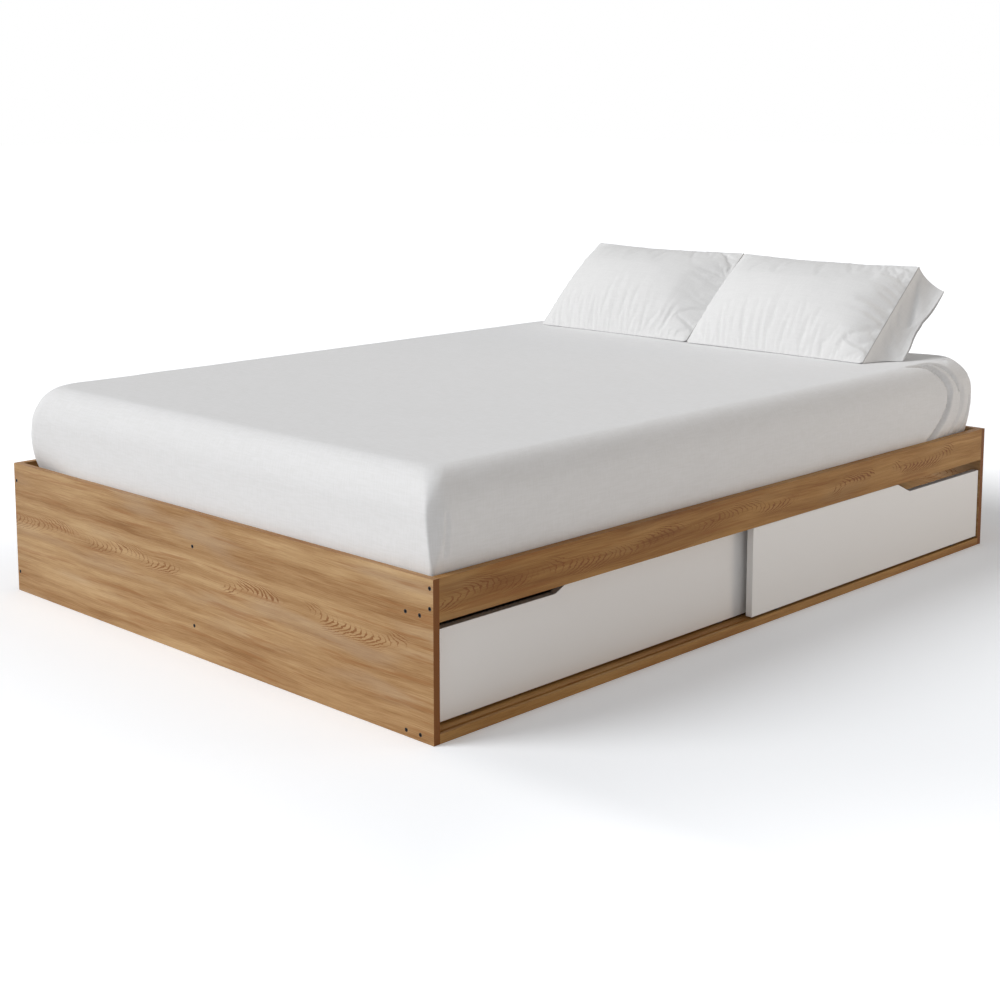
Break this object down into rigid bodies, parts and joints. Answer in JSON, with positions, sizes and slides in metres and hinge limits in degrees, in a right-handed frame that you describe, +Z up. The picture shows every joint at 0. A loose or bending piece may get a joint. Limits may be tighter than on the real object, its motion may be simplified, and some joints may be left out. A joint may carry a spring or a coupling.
{
  "type": "platform storage bed",
  "caption": "Low platform bed with bypass sliding doors over under-bed storage bays, a slatted deck, a mattress in a fitted sheet and leaning pillows.",
  "frame": {"origin": "middle of the frame's footprint, on the floor", "axes": "+Z up, +Y from the foot to the head, +X towards the side with the sliding doors"},
  "size_m": [1.405, 1.95, 0.7096],
  "materials": {
    "oak_board": "oak grain foil, satin",
    "white_board": "white melamine, satin",
    "pine": "planed softwood",
    "zinc_screw": "zinc plated",
    "nylon": "moulded",
    "nylon_wheel": "moulded",
    "mattress_cover": "knitted ticking",
    "white_cotton": "plain woven cotton",
    "pillow_cover": "cotton ticking"
  },
  "bodies": {
    "frame": {"foot_panel": "oak_board", "head_panel": "oak_board", "left_side_panel": "oak_board", "right_top_rail": "oak_board", "ledge_board": "oak_board", "base_board": "oak_board", "centre_beam_web": "oak_board", "centre_beam_cap": "oak_board", "storage_partition": "oak_board", "left_slat_cleat": "pine", "slat_01": "pine", "slat_02": "pine", "slat_03": "pine", "slat_04": "pine", "slat_05": "pine", "slat_06": "pine", "slat_07": "pine", "slat_08": "pine", "slat_09": "pine", "slat_10": "pine", "slat_11": "pine", "slat_12": "pine", "slat_13": "pine", "slat_14": "pine", "foot_panel_screws": "zinc_screw", "head_panel_screws": "zinc_screw"},
    "right_door": {"right_door_panel": "white_board", "right_door_foot_guide": "nylon", "right_door_head_guide": "nylon", "right_door_foot_roller_housing": "nylon", "right_door_head_roller_housing": "nylon", "right_door_foot_roller_axle": "zinc_screw", "right_door_head_roller_axle": "zinc_screw"},
    "right_foot_wheel": {"right_door_foot_wheel": "nylon_wheel"},
    "right_head_wheel": {"right_door_head_wheel": "nylon_wheel"},
    "left_door": {"left_door_panel": "white_board", "left_door_foot_guide": "nylon", "left_door_head_guide": "nylon", "left_door_foot_roller_housing": "nylon", "left_door_head_roller_housing": "nylon", "left_door_foot_roller_axle": "zinc_screw", "left_door_head_roller_axle": "zinc_screw"},
    "left_foot_wheel": {"left_door_foot_wheel": "nylon_wheel"},
    "left_head_wheel": {"left_door_head_wheel": "nylon_wheel"},
    "bedding": {"mattress": "mattress_cover", "fitted_sheet": "white_cotton"},
    "left_pillow": {"left_pillow": "pillow_cover", "left_pillowcase": "white_cotton"},
    "right_pillow": {"right_pillow": "pillow_cover", "right_pillowcase": "white_cotton"}
  },
  "joints": [
    {"name": "right_door_slide", "type": "slide", "parent": "frame", "child": "right_door", "axis": [0, -1, 0], "range_m": [0, 0.934]},
    {"name": "right_foot_wheel_spin", "type": "hinge", "parent": "right_door", "child": "right_foot_wheel", "pos_m": [0.6915, 0.0855, 0.0253], "axis": [1, 0, 0], "range_deg": [0, 5360]},
    {"name": "right_head_wheel_spin", "type": "hinge", "parent": "right_door", "child": "right_head_wheel", "pos_m": [0.6915, 0.8485, 0.0253], "axis": [1, 0, 0], "range_deg": [0, 5360]},
    {"name": "left_door_slide", "type": "slide", "parent": "frame", "child": "left_door", "axis": [0, 1, 0], "range_m": [0, 0.934]},
    {"name": "left_foot_wheel_spin", "type": "hinge", "parent": "left_door", "child": "left_foot_wheel", "pos_m": [0.6605, -0.8485, 0.0253], "axis": [-1, 0, 0], "range_deg": [0, 5360]},
    {"name": "left_head_wheel_spin", "type": "hinge", "parent": "left_door", "child": "left_head_wheel", "pos_m": [0.6605, -0.0855, 0.0253], "axis": [-1, 0, 0], "range_deg": [0, 5360]},
    {"name": "mattress_lift", "type": "slide", "parent": "frame", "child": "bedding", "axis": [0, 0, 1], "range_m": [0, 0.35]},
    {"name": "left_pillow_lift", "type": "slide", "parent": "bedding", "child": "left_pillow", "axis": [0, 0, 1], "range_m": [0, 0.25]},
    {"name": "right_pillow_lift", "type": "slide", "parent": "bedding", "child": "right_pillow", "axis": [0, 0, 1], "range_m": [0, 0.25]}
  ],
  "couplings": [
    {"joint": "right_foot_wheel_spin", "follows": "right_door_slide", "rad_per_m": 100},
    {"joint": "right_head_wheel_spin", "follows": "right_door_slide", "rad_per_m": 100},
    {"joint": "left_foot_wheel_spin", "follows": "left_door_slide", "rad_per_m": 100},
    {"joint": "left_head_wheel_spin", "follows": "left_door_slide", "rad_per_m": 100}
  ]
}
